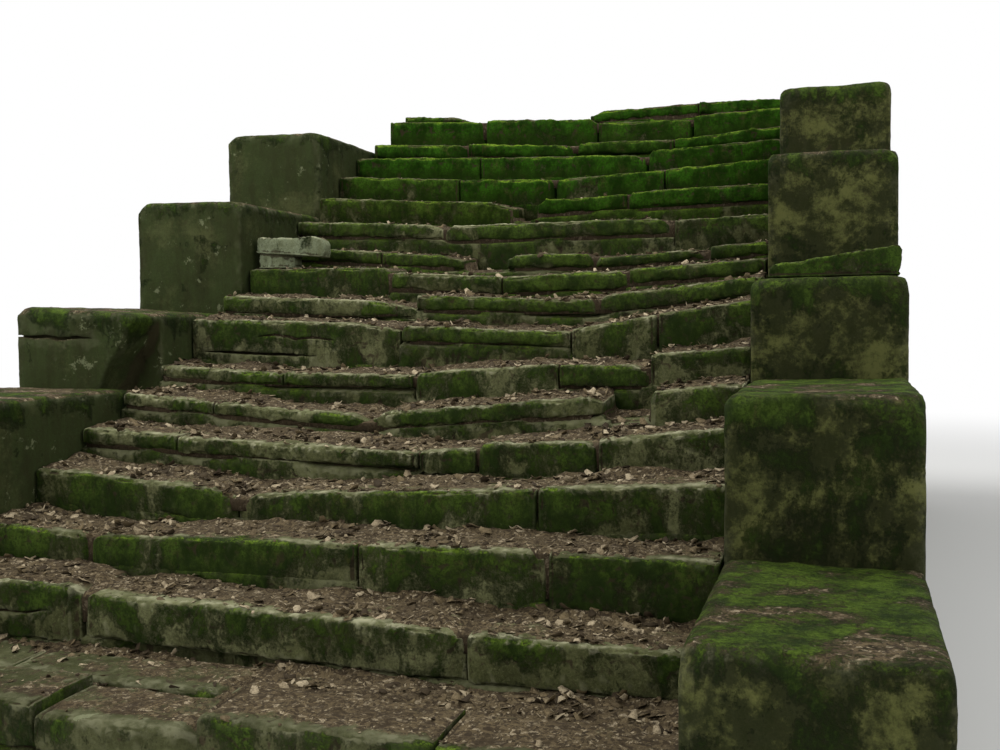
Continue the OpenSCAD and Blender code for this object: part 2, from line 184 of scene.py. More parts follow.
class StoneSizes(bpy.types.PropertyGroup):
    near_grain: grain("Near grain", "the lowest tread stones", 0.0072)
    far_grain: grain("Far grain", "the highest tread stones", 0.0098)
    course_grain: grain("Course grain", "the course faces", 0.0105)
    rear_grain: grain("Rear grain", "the rear faces", 0.015)
    cheek_grain: grain("Cheek grain", "the cheek blocks", 0.016)
    loose_grain: grain("Loose grain", "the loose stones", 0.007)
    dirt_grain: grain("Dirt grain", "the dirt", 0.0105)
    lump_depth: length("Lump depth", "Depth of the broad lumps and hollows", 0.010)
    crag_depth: length("Crag depth", "Depth of the small crags", 0.007)
    chip_depth: length("Chip depth", "Depth of the chips along the edges", 0.017)
    skin: length("Face depth", "Depth of the course stones modelled one by one", 0.10)
    flush: length("Flush", "How far the course faces come out towards the slabs", 0.006)
    bed_gap: length("Bed gap", "Depth of the open bed under a thin slab", 0.045)
    foot: length("Foot", "How far the deep blocks reach down in front of their bed at most", 0.09)
    leaf: length("Leaf flake", "Length of an average leaf flake", 0.036)
    dirt_depth: length("Dirt depth", "Thickness of the dirt at the back of a tread", 0.011)
    tread_triangles: amount("Tread triangles", "Triangles of one row", 21500)
    face_triangles: amount("Face triangles", "Triangles of one course face", 4500)
    cheek_triangles: amount("Cheek triangles", "Triangles on a square metre of a cheek", 2100)
    loose_triangles: amount("Loose triangles", "Triangles of a loose stone", 9000)
    dirt_triangles: amount("Dirt triangles", "Triangles of the dirt on a tread", 7000)
    leaf_count: amount("Leaf flakes", "Leaf flakes on a low tread", 560)


class FinishColours(bpy.types.PropertyGroup):
    stone_dry: colour("Dry stone", "Rubbed, dry edges of the stones", (0.36, 0.35, 0.22))
    stone_pale: colour("Pale stone", "Bare stone", (0.165, 0.17, 0.08))
    stone_mid: colour("Stone", "Weathered stone", (0.082, 0.088, 0.034))
    stone_dark: colour("Dark stone", "Damp, stained stone", (0.026, 0.028, 0.01))
    moss_dark: colour("Dark moss", "Moss in the shade", (0.013, 0.024, 0.0035))
    moss_mid: colour("Moss", "Common moss", (0.056, 0.092, 0.012))
    moss_old: colour("Old moss", "Brown, dying moss", (0.062, 0.06, 0.018))
    # Painted highlight: a bright moss colour that stands in for light catching the moss of the top
    # edges.
    moss_highlight: colour("Bright moss", "Fresh moss on the top edges", (0.15, 0.235, 0.02))
    dirt_dark: colour("Dark dirt", "Wet rotted leaf dirt", (0.036, 0.026, 0.015))
    dirt_mid: colour("Dirt", "Brown leaf dirt", (0.145, 0.109, 0.058))
    dirt_pale: colour("Dry dirt", "Dry leaf fragments", (0.42, 0.345, 0.225))
    render_left: colour("Left cheek", "Light olive render", (0.036, 0.05, 0.0155))
    render_right: colour("Right cheek", "Dark olive render", (0.0145, 0.018, 0.005))
    blotch_right: colour("Right cheek blotches", "Tan patches of the right cheek", (0.112, 0.118, 0.036))
    lichen: colour("Lichen", "Grey lichen patches", (0.17, 0.185, 0.1))
    slab_pale: colour("Loose slab", "Pale grey stone of the loose slab", (0.21, 0.24, 0.15))


class StageSettings(bpy.types.PropertyGroup):
    floor: colour("Floor", "Floor colour", (0.8, 0.8, 0.78))
    key_power: power("Key light", "Power of the lamp overhead", 620.0)
    fill_power: power("Fill light", "Power of the front lamp", 330.0)
    side_power: power("Side light", "Power of the lamp on the right", 231.0)
    world_level: FloatProperty(
        name="Surrounding light", description="Strength of the even light", default=0.5
    )


# Working on meshes


def choose_nothing():
    bpy.ops.object.select_all(action="DESELECT")


def choose(*objects):
    """Select these objects alone and make the first one active."""
    choose_nothing()
    for one in objects:
        one.select_set(True)
    bpy.context.view_layer.objects.active = objects[0]


def edit_all(piece):
    """Go into edit mode with the whole mesh selected."""
    choose(piece)
    bpy.ops.object.mode_set(mode="EDIT")
    bpy.ops.mesh.select_all(action="SELECT")


def leave_edit():
    bpy.ops.object.mode_set(mode="OBJECT")


def modify(piece, kind, **settings):
    """Add one modifier and apply it."""
    choose(piece)
    added = piece.modifiers.new(kind.title(), kind)
    for key, value in settings.items():
        setattr(added, key, value)
    bpy.ops.object.modifier_apply(modifier=added.name)


def copy_node(node, name):
    """A piece with its own copy of the mesh of a solid, its loose triangles merged."""
    piece = bpy.data.objects.new(name, NODES[node].data.copy())
    bpy.context.scene.collection.objects.link(piece)
    piece.data.materials.clear()
    edit_all(piece)
    bpy.ops.mesh.remove_doubles(threshold=MERGED)
    leave_edit()
    return piece


def cut_at(piece, y, keep_front):
    """Cut a closed piece across at y and close the cut."""
    edit_all(piece)
    ends = {"clear_inner": not keep_front, "clear_outer": keep_front}
    bpy.ops.mesh.bisect(plane_co=(0, y, 0), plane_no=(0, 1, 0), use_fill=True, **ends)
    leave_edit()


def duplicate(piece, name):
    twin = bpy.data.objects.new(name, piece.data.copy())
    bpy.context.scene.collection.objects.link(twin)
    return twin


def remove(piece):
    mesh = piece.data
    bpy.data.objects.remove(piece)
    bpy.data.meshes.remove(mesh)


def join(name, pieces):
    choose(*pieces)
    if len(pieces) > 1:
        bpy.ops.object.join()
    pieces[0].name = name
    return pieces[0]


def loose_parts(piece):
    """Split a piece into its separate stones, from left to right."""
    edit_all(piece)
    bpy.ops.mesh.separate(type="LOOSE")
    leave_edit()
    return sorted(bpy.context.selected_objects, key=lambda part: points(part)[:, 0].min())


def points(piece, what="co"):
    values = np.empty(len(piece.data.vertices) * 3, np.float32)
    if what == "co":
        piece.data.vertices.foreach_get("co", values)
    else:
        piece.data.vertex_normals.foreach_get("vector", values)
    return values.reshape(-1, 3)


def move_points(piece, at):
    piece.data.vertices.foreach_set("co", np.ascontiguousarray(at, np.float32).ravel())
    piece.data.update()


def weigh(piece, group, values, levels=16):
    """Write values from 0 to 1 into a vertex group."""
    made = piece.vertex_groups.new(name=group)
    steps = np.round(np.clip(values, 0, 1) * levels).astype(int)
    for level in range(1, levels + 1):
        chosen = np.nonzero(steps == level)[0]
        if len(chosen):
            made.add(chosen.tolist(), level / levels, "REPLACE")


def bulge(piece, rounds, reach):
    """How far each point stands out of its smoothed neighbourhood, from about -1 to 1."""
    mesh = piece.data
    edges = np.empty(len(mesh.edges) * 2, np.int32)
    mesh.edges.foreach_get("vertices", edges)
    ends = edges.reshape(-1, 2)
    count = len(mesh.vertices)
    near = np.bincount(edges, minlength=count).clip(1)
    start = points(piece).astype(np.float64)
    smooth = start.copy()
    for _ in range(rounds):
        total = np.zeros_like(smooth)
        for axis in range(3):
            total[:, axis] = np.bincount(ends[:, 0], smooth[ends[:, 1], axis], count) + np.bincount(
                ends[:, 1], smooth[ends[:, 0], axis], count
            )
        smooth = total / near[:, None]
    return np.einsum("ij,ij->i", start - smooth, points(piece, "normal")) / reach


def keep_values(piece, **named):
    """Store numbers for each point, or one for all, that the materials read by name."""
    for name, values in named.items():
        made = piece.data.attributes.new(name, "FLOAT", "POINT")
        values = np.broadcast_to(np.asarray(values, np.float32), len(piece.data.vertices))
        made.data.foreach_set("value", np.ascontiguousarray(values))


def triangles(piece):
    return sum(len(p.vertices) - 2 for p in piece.data.polygons)


def thin_out(piece, wanted):
    ratio = wanted / max(1, triangles(piece))
    if ratio < 1:
        modify(piece, "DECIMATE", ratio=ratio)


def rise(values, low, high):
    """A smooth step from 0 at low to 1 at high."""
    t = np.clip((values - low) / (high - low), 0, 1)
    return t * t * (3 - 2 * t)


def columns(at, width=COLUMN):
    """Sort points into columns across the flight.

    Gives the first column's number, each point's column, and the columns' lowest and highest points.
    """
    bins = np.round(at[:, 0] / width).astype(int)
    first = bins.min()
    bins -= first
    lows = np.full(bins.max() + 1, 1e9)
    tops = -lows
    np.minimum.at(lows, bins, at[:, 2])
    np.maximum.at(tops, bins, at[:, 2])
    return first, bins, lows, tops


def depth_below_top(at, width=COLUMN):
    """Depth of each point under the highest point of its column."""
    _, bins, _, tops = columns(at, width)
    return tops[bins] - at[:, 2]


def above_bed(at):
    """Height of each point over the lowest point of its column, and the usual thickness."""
    _, bins, lows, tops = columns(at)
    return at[:, 2] - lows[bins], float(np.median((tops - lows)[tops > lows]))


def finish_piece(piece, slot, *nodes):
    """Keep the piece in the box of the solids, shade it and hang it on the frame."""
    piece.vertex_groups.clear()
    move_points(piece, np.clip(points(piece), CAD_BOX[0], CAD_BOX[1]))
    choose(piece)
    bpy.ops.object.shade_smooth()
    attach(piece, "root")
    if nodes:
        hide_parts(*nodes)
    return piece


# Erosion


RELIEFS = {
    "edge bites": {"noise_scale": 0.11, "noise_depth": 4, "contrast": 3.2, "intensity": 0.9},
    "broad lumps": {"noise_scale": 0.13, "noise_depth": 3, "contrast": 1.5},
    "small crags": {"noise_scale": 0.04, "noise_depth": 4, "contrast": 1.3, "noise_type": "HARD_NOISE"},
}


def displace(piece, relief, strength, mid_level, group):
    """Push the points of a group in and out by one of the reliefs."""
    texture = bpy.data.textures.get(relief)
    if not texture:
        texture = bpy.data.textures.new(relief, "CLOUDS")
        for key, value in RELIEFS[relief].items():
            setattr(texture, key, value)
    how = {"strength": strength, "mid_level": mid_level, "vertex_group": group}
    modify(piece, "DISPLACE", texture=texture, **how)


def erode(piece, exposed, sizes, shares, outward=0.0, reach=0.006):
    """Weather the exposed surface: broad lumps, crags, and bites out of the level edges.

    shares are the parts of the full depth of the lumps, the crags and the bites.
    """
    upright = rise(np.abs(points(piece, "normal")[:, 0]), 0.3, 0.6)
    edge = np.clip(bulge(piece, 10, reach) - 0.25, 0, 1) * exposed * (1 - 0.8 * upright)
    weigh(piece, "exposed", exposed)
    weigh(piece, "edge", edge)
    lump, crag, chip = shares
    displace(piece, "edge bites", -sizes.chip_depth * chip, 0.0, "edge")
    displace(piece, "broad lumps", sizes.lump_depth * lump, 1 - outward, "exposed")
    displace(piece, "small crags", sizes.crag_depth * crag, 1 - outward, "exposed")


def regrain(piece, grain, smoothing):
    """Rebuild a piece with an even, fine surface."""
    modify(piece, "REMESH", mode="VOXEL", voxel_size=grain)
    modify(piece, "SMOOTH", factor=0.5, iterations=smoothing)


def cut_cracks(piece, node):
    """Cut the thin, wandering cracks of a solid into the face of one of its stones."""
    at = points(piece)
    left, right, front = at[:, 0].min(), at[:, 0].max(), at[:, 1].min()
    for path, width, depth in CRACKS.get(node, ()):
        start, end = path[0][0], path[-1][0]
        if end < left or start > right:
            continue
        bends = max(4, round((end - start) / 0.018))
        choose_nothing()
        bpy.ops.mesh.primitive_grid_add(x_subdivisions=bends, y_subdivisions=1, size=1.0)
        blade = bpy.context.active_object
        for vertex in blade.data.vertices:
            share = vertex.co.x + 0.5
            x = start + (end - start) * share
            z = np.interp(x, *zip(*path)) + 0.005 * noise.noise(Vector((x * 40, depth * 50, 1)))
            ragged = 1 + 0.7 * noise.noise(Vector((x * 25, 2, 3)))
            open_by = width * (1 - 0.85 * abs(2 * share - 1) ** 3) * ragged
            side = 0.5 if vertex.co.y > 0 else -0.5
            vertex.co = (x, front - 0.05, z + side * open_by)
        modify(blade, "SOLIDIFY", thickness=depth + 0.05, offset=-1)
        modify(piece, "BOOLEAN", operation="DIFFERENCE", object=blade, solver="EXACT")
        remove(blade)


# Pieces


def tread_line(index, places):
    """Height of the back of a tread at the given places across the flight."""
    at = points(bpy.data.objects[f"tread_stones_{index:02d}"])
    first, _, _, tops = columns(at[at[:, 1] > at[:, 1].max() - 0.09])
    known = np.nonzero(tops > -1e8)[0]
    return np.interp(places / COLUMN, known + first, tops[known])


def tread_row(index, sizes):
    """The row of worn stones of one step, each rebuilt and weathered by itself."""
    node = f"step_{index:02d}"
    top_row = index == STEPS
    back = 99 if top_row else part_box(f"course_{index + 1:02d}")[0].y
    share = (index - 1) / (STEPS - 1)
    grain = sizes.near_grain + (sizes.far_grain - sizes.near_grain) * share
    wanted = sizes.tread_triangles * (1.35 - 0.7 * share)
    parts = loose_parts(copy_node(node, f"tread_stones_{index:02d}"))
    areas = [sum(p.area for p in part.data.polygons) for part in parts]
    random = np.random.default_rng(900 + index)
    for part, area in zip(parts, areas):
        regrain(part, grain, 1)
        at = points(part)
        way = points(part, "normal")
        front = at[:, 1].min()
        over_bed, depth = above_bed(at)
        under = rise(-way[:, 2], 0.35, 0.75) * rise(at[:, 1] - front, 0.03, 0.05)
        ends = rise(np.abs(way[:, 0]), 0.4, 0.75)
        hidden = rise(at[:, 1] - back, 0.0, 0.02)
        exposed = (1 - under) * (1 - ends) * (1 - hidden)
        erode(part, exposed, sizes, (1, 1, 1), 0.0 if top_row else 0.3)
        if depth > DEEP - 0.03 * (index < 5) and index > 1:
            at = points(part)
            bed = at[:, 2] - over_bed
            most = sizes.foot if index > 2 else 0.016
            reach = np.clip(bed - tread_line(index - 1, at[:, 0]) + 0.015, 0, most)
            at[:, 2] -= reach * rise(-over_bed, -0.07, -0.005)
            move_points(part, at)
        cut_cracks(part, node)
        thin_out(part, int(wanted * area / sum(areas)))
        at = points(part)
        keep_values(
            part,
            tone=random.random(),
            drop=depth_below_top(at),
            inset=at[:, 1] - front,
            relief=bulge(part, *FINE_RELIEF),
            moss=np.clip(MOSS[index - 1] + 0.16 * (random.random() - 0.5), 0, 1),
            dusty=0.8 * rise(at[:, 0], -1.2, 0.5) - 0.55 if index == 1 else 0.0,
            damp=0.62 if index == 1 else 0.0,
        )
    return finish_piece(join(f"tread_stones_{index:02d}", parts), "tread_stone", node)


def course_row(index, sizes):
    """One rubble course: its front and rear faces stone by stone, and a plain core."""
    node = f"course_{index:02d}"
    low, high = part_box(node)
    front_cut = low.y + sizes.skin
    rear_cut = high.y - sizes.skin
    core = copy_node(node, f"rubble_course_{index:02d}")
    face = duplicate(core, "face")
    rear = duplicate(core, "rear")
    cut_at(face, front_cut, True)
    cut_at(rear, rear_cut, False)
    cut_at(core, front_cut, False)
    cut_at(core, rear_cut, True)
    random = np.random.default_rng(500 + index)
    made = []
    for part, grain, side in ((face, sizes.course_grain, -1), (rear, sizes.rear_grain, 1)):
        outline = points(part)
        line = low.y if side < 0 else high.y
        deep = np.abs(outline[:, 1] - line)
        joints = np.unique(np.round(outline[(deep > 0.018) & (deep < 0.05), 0], 2))
        joints = joints[np.abs(joints) < high.x - 0.02]
        regrain(part, grain, 1)
        at = points(part)
        way = points(part, "normal")
        exposed = rise(side * way[:, 1], 0.1, 0.5) * rise(high.x - np.abs(at[:, 0]), 0, 0.02)
        erode(part, exposed, sizes, (1.1, 1, 0.5), 0.3 if side < 0 else 0.0)
        if side < 0:
            at = points(part)
            wander = np.array([noise.noise(Vector((x * 3.1, 0.3, index))) for x in at[:, 0]])
            open_bed = rise(-depth_below_top(at), -0.02 - 0.008 * wander, -0.006)
            gap = sizes.bed_gap * open_bed * rise(wander, -0.35, 0.1)
            if index == 2:
                gap = np.maximum(gap, 0.09 * rise(0.55 - np.abs(at[:, 0] + 0.26), 0, 0.3))
            at[:, 1] += (gap - sizes.flush) * (at[:, 1] < low.y + 0.04)
            move_points(part, at)
        thin_out(part, sizes.face_triangles)
        at = points(part)
        tones = random.random(len(joints) + 1)
        keep_values(
            part,
            tone=tones[np.searchsorted(joints, at[:, 0])],
            drop=0.05 + depth_below_top(at),
            inset=0.0,
            relief=bulge(part, *FINE_RELIEF),
            moss=MOSS[index - 1] * 0.95 if side < 0 else 0.35,
        )
        made.append(part)
    keep_values(core, tone=0.3, drop=0.2, inset=0.0, relief=0.0, moss=0.3)
    return finish_piece(join(core.name, [core, *made]), "course_stone", node)


def cheek_block(side, tier, sizes):
    """A cheek block of rendered masonry, weathered wherever it shows."""
    node = f"cheek_{side}_{tier}"
    piece = copy_node(node, f"{side}_cheek_{tier}")
    area = sum(p.area for p in piece.data.polygons)
    regrain(piece, sizes.cheek_grain, 1)
    way = points(piece, "normal")
    hidden_back = rise(way[:, 1], 0.5, 0.8) * (tier < TIERS)
    exposed = (1 - hidden_back) * rise(-way[:, 2], 0.6, 0.3)
    erode(piece, exposed, sizes, (0.45, 0.45, 0.8), reach=0.011)
    cut_cracks(piece, node)
    thin_out(piece, int(area * sizes.cheek_triangles))
    at = points(piece)
    keep_values(
        piece,
        tone=(tier * 0.37) % 1,
        drop=depth_below_top(at, 0.06),
        inset=at[:, 1] - at[:, 1].min(),
        relief=bulge(piece, 3, 0.006),
        moss=0.46 if side == "right" else 0.3,
        dusty=0.7,
    )
    return finish_piece(piece, "cheek_masonry", node)


def loose_stone(node, name, slot, sizes, tone, moss):
    """A loose stone, weathered all round."""
    piece = copy_node(node, name)
    regrain(piece, sizes.loose_grain, 2)
    exposed = 1 - rise(-points(piece, "normal")[:, 2], 0.4, 0.7)
    erode(piece, exposed, sizes, (1, 1, 0.8))
    thin_out(piece, sizes.loose_triangles)
    at = points(piece)
    keep_values(
        piece,
        tone=tone,
        drop=depth_below_top(at),
        inset=at[:, 1] - at[:, 1].min(),
        relief=bulge(piece, *FINE_RELIEF),
        moss=moss,
    )
    return finish_piece(piece, slot, node)


def spread(heights, reach, axis, pick):
    """Take the highest or lowest value within some cells along one axis of a grid."""
    padded = np.pad(heights, [(reach, reach) if a == axis else (0, 0) for a in (0, 1)], mode="edge")
    size = heights.shape[axis]
    shifted = [np.take(padded, range(i, i + size), axis) for i in range(2 * reach + 1)]
    return pick.reduce(shifted)


def close_gaps(heights, reach=3):
    """Bridge the narrow joints and holes in a grid of heights."""
    for axis in (0, 1):
        heights = spread(heights, reach, axis, np.maximum)
        heights = spread(heights, reach, axis, np.minimum)
    return heights


def scatter_leaves(name, spots, lengths, random):
    """Curled leaf flakes at the given spots, one flake copied and turned by chance."""
    choose_nothing()
    bpy.ops.mesh.primitive_uv_sphere_add(segments=6, ring_count=2, radius=0.5)
    leaves = bpy.context.active_object
    leaves.name = name
    edit_all(leaves)
    bpy.ops.transform.resize(value=(1, 0.6, 0.035), center_override=(0, 0, 0))
    leave_edit()
    corners = len(leaves.data.vertices)
    modify(leaves, "ARRAY", count=len(spots), relative_offset_displace=(0, 0, 0))
    at = points(leaves).reshape(-1, corners, 3).astype(np.float64)
    curl = random.uniform(-1.1, 1.9, (len(spots), 1))
    at[:, :, 2] += curl * at[:, :, 0] ** 2 - 0.25 * curl * at[:, :, 1]
    at *= lengths[:, None, None]
    for axes, spread_by in (((0, 2), 0.55), ((1, 2), 0.5), ((0, 1), math.pi)):
        turn = random.uniform(-spread_by, spread_by, (len(spots), 1))
        first, second = at[:, :, axes[0]].copy(), at[:, :, axes[1]].copy()
        at[:, :, axes[0]] = first * np.cos(turn) - second * np.sin(turn)
        at[:, :, axes[1]] = first * np.sin(turn) + second * np.cos(turn)
    at += spots[:, None, :]
    move_points(leaves, at.reshape(-1, 3))
    keep_values(leaves, tone=np.repeat(random.random(len(spots)), corners))
    return leaves


def leaf_spots(sheet, row, count, random):
    """Places for leaf flakes: on the dirt, and a few on the bare stone in front of it."""
    chosen = []
    for piece, share in ((sheet, 0.88), (row, 0.12)):
        at = points(piece)
        level = points(piece, "normal")[:, 2] > 0.75
        drop = depth_below_top(at, 0.08)
        near = np.nonzero(level & (drop < 0.06))[0]
        drifts = np.array([noise.fractal(Vector(p) * 5, 0.8, 2.0, 3) for p in at[near]])
        weights = np.clip(0.35 + drifts, 0.04, 1)
        picked = at[random.choice(near, int(count * share), p=weights / weights.sum())]
        chosen.append(picked + random.uniform(-0.004, 0.004, picked.shape) * (1, 1, 0.3))
    return np.concatenate(chosen) + (0, 0, 0.002)


def leaf_dirt(index, sizes):
    """The dirt gathered on one tread: thick at the back, thin and ragged to the front."""
    row = bpy.data.objects[f"tread_stones_{index:02d}"]
    course = bpy.data.objects[f"rubble_course_{index:02d}"]
    low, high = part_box(f"step_{index:02d}")
    top_row = index == STEPS
    back = high.y - 0.02 if top_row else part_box(f"step_{index + 1:02d}")[0].y + 0.03
    front = low.y + 0.012 if top_row else max(low.y + 0.012, back - 0.34)
    bed = join("bed", [duplicate(course, "bed"), duplicate(row, "stones")])
    across = high.x - low.x - 0.012
    cells = (round(across / sizes.dirt_grain), round((back - front) / sizes.dirt_grain))
    choose_nothing()
    bpy.ops.mesh.primitive_grid_add(
        x_subdivisions=cells[0],
        y_subdivisions=cells[1],
        size=1.0,
        location=((low.x + high.x) / 2, (front + back) / 2, high.z + 0.1),
    )
    sheet = bpy.context.active_object
    sheet.name = f"leaf_dirt_{index:02d}"
    sheet.scale = (across, back - front, 1)
    bpy.ops.object.transform_apply(location=True, rotation=True, scale=True)
    down = {"use_project_z": True, "use_negative_direction": True, "use_positive_direction": False}
    modify(sheet, "SHRINKWRAP", target=bed, wrap_method="PROJECT", **down)
    remove(bed)
    at = points(sheet)
    order = np.lexsort((at[:, 0], np.round(at[:, 1], 4)))
    in_row = len(np.unique(np.round(at[:, 0], 4)))
    level = at[order, 2].reshape(-1, in_row)
    inward = at[order, 1].reshape(-1, in_row)
    level[level > high.z + 0.02] = low.z
    level = close_gaps(level)
    on_tread = level > np.median(level[len(level) // 3 :], axis=0) - 0.03
    first = spread(np.argmax(on_tread, axis=0)[None, :], 3, 1, np.maximum)[0] + 2
    across_all = np.arange(in_row)
    inward = np.maximum(inward, inward[first, across_all] + 0.004)
    before = np.arange(len(level))[:, None] <= first
    level = np.where(before, level[first, across_all] - 0.008, level)
    at[order, 1] = inward.ravel()
    at[order, 2] = level.ravel()
    broad = np.array([noise.fractal(Vector((p[0] * 2.4, p[1] * 5, index)), 0.9, 2.1, 4) for p in at])
    crumbs = np.array([noise.noise(Vector((p[0] * 45, p[1] * 45, index + 0.5))) for p in at])
    pile = np.clip((at[:, 1] - front) / 0.3, 0, 1)
    heaped = rise(at[:, 1], back - 0.09, back - 0.03) * (0.6 + broad)
    thick = sizes.dirt_depth * (1.3 * pile - 0.45) + 0.016 * broad + 0.006 * crumbs + 0.014 * heaped
    edge = np.minimum(at[:, 0] - low.x, high.x - at[:, 0])
    thick += 0.012 * rise(-edge, -0.12, 0) * pile
    if index == 1:
        thick -= 0.016 * rise(-at[:, 0], -0.5, 0.1)
    if top_row:
        thick -= 0.05 * rise(at[:, 1] - back, -0.12, 0)
    thick *= np.interp(index, (8, 11), (1.0, 0.3))
    at[:, 2] += np.clip(thick, -0.012, 0.034)
    move_points(sheet, at)
    modify(sheet, "WELD", merge_threshold=MERGED)
    at = points(sheet)
    modify(sheet, "SOLIDIFY", thickness=0.02, offset=-1)
    under = at.copy()
    under[:, 2] = at[:, 2].min() - 0.04
    move_points(sheet, np.concatenate((at, under)))
    thin_out(sheet, sizes.dirt_triangles)
    keep_values(sheet, damp=np.interp(index, (6, 12), (0.0, 0.6)))
    dress(sheet, "leaf dirt")
    layers = [sheet]
    count = int(sizes.leaf_count * np.interp(index, (8, 12, 15), (1.0, 0.2, 0.0)))
    if count:
        random = np.random.default_rng(700 + index)
        spots = leaf_spots(sheet, row, count, random)
        lengths = sizes.leaf * (0.4 + 1.5 * random.random(len(spots)) ** 1.8)
        leaves = scatter_leaves("leaves", spots, lengths, random)
        dress(leaves, "dry leaf flakes")
        layers.append(leaves)
    return finish_piece(join(sheet.name, layers), "tread_stone")


# Shader nodes


class Graph:
    """Adds shader nodes to a tree and links them as they are made."""

    def __init__(self, tree):
        self.tree = tree

    def node(self, kind, inputs=None, **settings):
        made = self.tree.nodes.new("ShaderNode" + kind)
        for key, value in settings.items():
            setattr(made, key, value)
        for key, value in (inputs or {}).items():
            if isinstance(value, bpy.types.NodeSocket):
                self.tree.links.new(value, made.inputs[key])
            else:
                made.inputs[key].default_value = value
        return made

    def group(self, name, inputs):
        return self.node("Group", inputs, node_tree=bpy.data.node_groups[name]).outputs

    def place(self):
        return self.node("TexCoord").outputs["Object"]

    def value(self, attribute):
        return self.node("Attribute", attribute_name=attribute).outputs["Fac"]

    def part(self, vector, axis):
        return self.node("SeparateXYZ", {0: vector}).outputs[axis]

    def upness(self):
        return self.part(self.node("NewGeometry").outputs["Normal"], "Z")

    def math(self, operation, *values, clamp=False):
        inputs = dict(enumerate(values))
        return self.node("Math", inputs, operation=operation, use_clamp=clamp).outputs[0]

    def total(self, *values):
        result = values[0]
        for value in values[1:]:
            result = self.math("ADD", result, value)
        return result

    def scaled(self, value, factor):
        return self.math("MULTIPLY", value, factor)

    def swing(self, value, size):
        """How far a value lies from a half, times size."""
        return self.scaled(self.math("SUBTRACT", value, 0.5), size)

    def between(self, value, low, high, first=0.0, last=1.0):
        """A smooth step from first at low to last at high."""
        inputs = {0: value, 1: low, 2: high, 3: first, 4: last}
        return self.node("MapRange", inputs, interpolation_type="SMOOTHSTEP").outputs[0]

    def mix(self, factor, first, second, blend="MIX"):
        inputs = {0: factor, 6: first, 7: second}
        return self.node("Mix", inputs, data_type="RGBA", blend_type=blend).outputs[2]

    def stretched(self, vector, x, y, z):
        return self.node("VectorMath", {0: vector, 1: (x, y, z)}, operation="MULTIPLY").outputs[0]

    def noise(self, vector, scale, detail=5, roughness=0.6, distortion=0.0, shown=None):
        """Fractal noise. Given shown, only that much of its detail is worked out, at full weight."""
        inputs = {
            "Vector": vector,
            "Scale": scale,
            "Detail": detail if shown is None else shown,
            "Roughness": roughness,
            "Distortion": distortion,
        }
        found = self.node("TexNoise", inputs).outputs[0]
        if shown is None:
            return found
        weight = (1 - roughness ** (shown + 1)) / (1 - roughness ** (detail + 1))
        return self.math("MULTIPLY_ADD", found, weight, 0.5 * (1 - weight))


def start_group(name, tones, values, outputs):
    """An empty node group with its sockets, as (graph, its inputs, a function that sets an output)."""
    tree = bpy.data.node_groups.new(name, "ShaderNodeTree")
    for labels, in_out in (((*tones, *values), "INPUT"), (outputs, "OUTPUT")):
        for label in labels:
            kind = "NodeSocketColor" if label in (*tones, "Color") else "NodeSocketFloat"
            tree.interface.new_socket(name=label, in_out=in_out, socket_type=kind)
    source = tree.nodes.new("NodeGroupInput").outputs
    target = tree.nodes.new("NodeGroupOutput").inputs
    return Graph(tree), source, lambda label, socket: tree.links.new(socket, target[label])


def stone_group():
    """Mottled, streaked stone: a tone per stone, stains of three sizes and fine grit."""
    g, given, put = start_group("stone mottle", ("Pale", "Mid", "Dark"), ("Stain",), ("Color", "Height"))
    co = g.place()
    broad = g.total(g.noise(co, 3.3, 9, 0.72, 0.6, 7), g.swing(g.value("tone"), 0.24))
    base = g.mix(g.between(broad, 0.36, 0.7), given["Mid"], given["Pale"])
    drip = g.noise(g.stretched(co, 12, 12, 2.4), 1.0, 8, 0.72, 0.4, 5)
    stain = g.scaled(g.between(drip, 0.4, 0.68), given["Stain"])
    base = g.mix(stain, base, given["Dark"])
    blotch = g.noise(co, 14.0, 9, 0.76, 0.3)
    base = g.mix(g.between(blotch, 0.44, 0.74, 0.0, 0.7), base, given["Dark"])
    grit = g.noise(co, 120.0, 5, 0.8)
    base = g.mix(g.between(grit, 0.42, 0.68, 0.0, 0.6), base, given["Dark"])
    base = g.mix(g.between(grit, 0.46, 0.32, 0.0, 0.55), base, given["Pale"])
    put("Color", base)
    put("Height", g.total(g.scaled(blotch, 0.8), g.scaled(grit, 0.5)))


